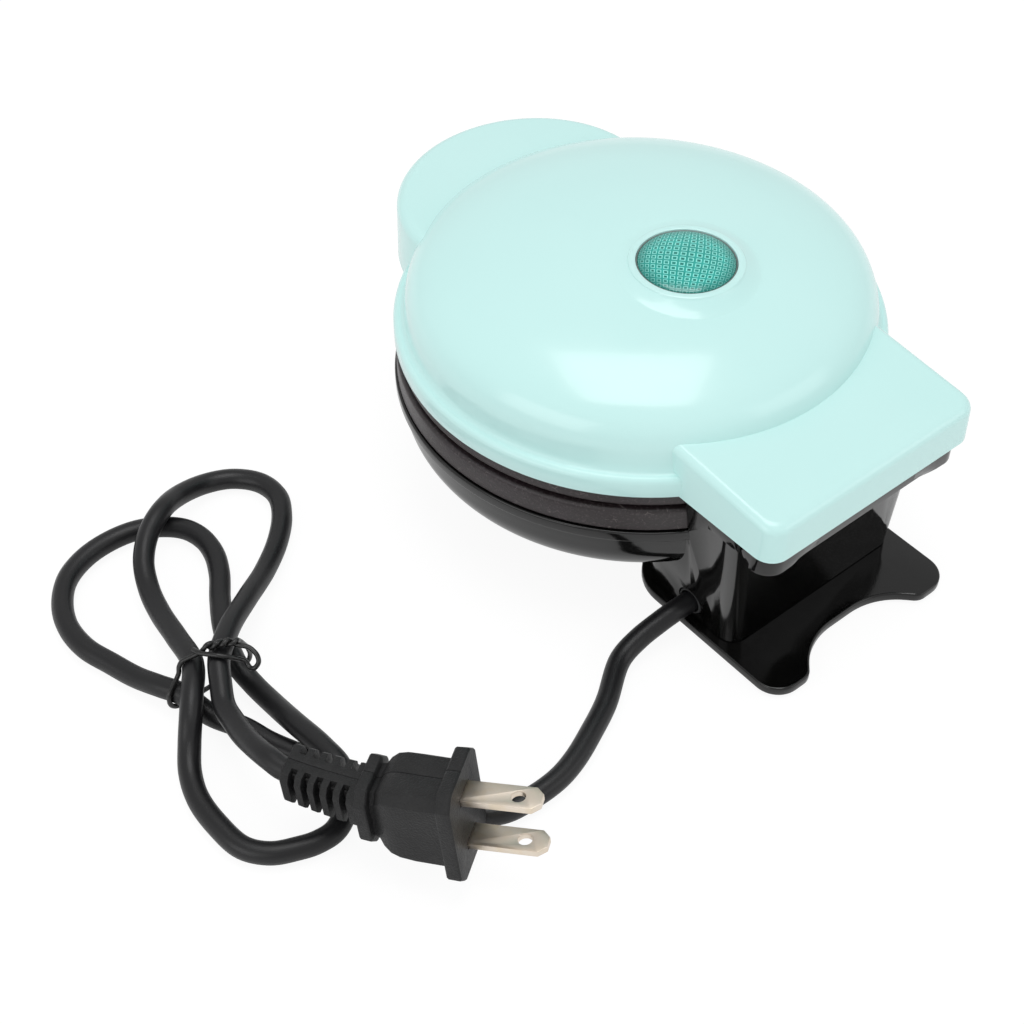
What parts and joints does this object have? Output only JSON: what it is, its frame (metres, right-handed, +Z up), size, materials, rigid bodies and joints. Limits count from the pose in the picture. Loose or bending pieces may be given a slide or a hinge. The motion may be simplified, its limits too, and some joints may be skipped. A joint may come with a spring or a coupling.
{
  "type": "round waffle maker",
  "caption": "Small round electric waffle maker: hinged domed lid with handle and indicator window, dished non-stick plates, hollow base on a foot, and a coiled power cord with plug.",
  "frame": {"origin": "on the floor, under the middle of the maker's outline without its cord", "axes": "+Z up, -Y towards the handle, +Y towards the hinge, +X towards the side the cord leaves"},
  "size_m": [0.215, 0.1641, 0.0755],
  "materials": {
    "aqua_gloss": "gloss",
    "black_gloss": "gloss",
    "black_satin": "satin",
    "black_rubber": "matt",
    "cord_jacket": "semi-gloss",
    "non_stick": "textured non-stick coating",
    "green_lens": "translucent",
    "lamp_glass": "clear",
    "white_plastic": "matt",
    "lead_sleeve": "woven sleeve",
    "element_steel": "oxidised",
    "reflector_steel": "mill finish",
    "screw_steel": "zinc plated",
    "nickel_blade": "nickel plated"
  },
  "bodies": {
    "base": {"lower_plate": "non_stick", "lower_element": "element_steel", "lower_reflector": "reflector_steel", "lower_housing": "black_gloss", "lower_plate_screw_1": "screw_steel", "lower_plate_screw_2": "screw_steel", "lower_plate_screw_3": "screw_steel", "rear_foot_plate": "black_gloss", "front_foot_plate": "black_gloss", "foot_pad_1": "black_rubber", "foot_pad_2": "black_rubber", "foot_pad_3": "black_rubber", "foot_pad_4": "black_rubber", "foot_screw_1": "screw_steel", "foot_screw_2": "screw_steel", "foot_screw_3": "screw_steel", "foot_screw_4": "screw_steel", "hinge_pin": "screw_steel", "terminal_block": "white_plastic", "thermostat": "reflector_steel", "thermal_fuse": "white_plastic", "live_lead": "lead_sleeve", "neutral_lead": "lead_sleeve", "cord_bushing": "black_rubber", "power_cord": "cord_jacket", "twist_tie": "black_satin", "plug_body": "cord_jacket", "plug_blade_1": "nickel_blade", "plug_blade_2": "nickel_blade"},
    "lid": {"lid_shell": "aqua_gloss", "lens": "green_lens", "lens_ring": "black_satin", "lamp_holder": "white_plastic", "indicator_lamp": "lamp_glass", "upper_plate": "non_stick", "upper_element": "element_steel", "upper_reflector": "reflector_steel", "upper_plate_screw_1": "screw_steel", "upper_plate_screw_2": "screw_steel", "upper_plate_screw_3": "screw_steel", "reflector_screw_1": "screw_steel", "reflector_screw_2": "screw_steel", "reflector_screw_3": "screw_steel", "hinge_cover": "black_gloss", "hinge_cover_screw_1": "screw_steel", "hinge_cover_screw_2": "screw_steel", "handle_cover": "black_gloss", "handle_screw_1": "screw_steel", "handle_screw_2": "screw_steel"}
  },
  "joints": [
    {"name": "lid_hinge", "type": "hinge", "parent": "base", "child": "lid", "pos_m": [0, 0.06735, 0.042], "axis": [-1, 0, 0], "range_deg": [0, 95]}
  ]
}
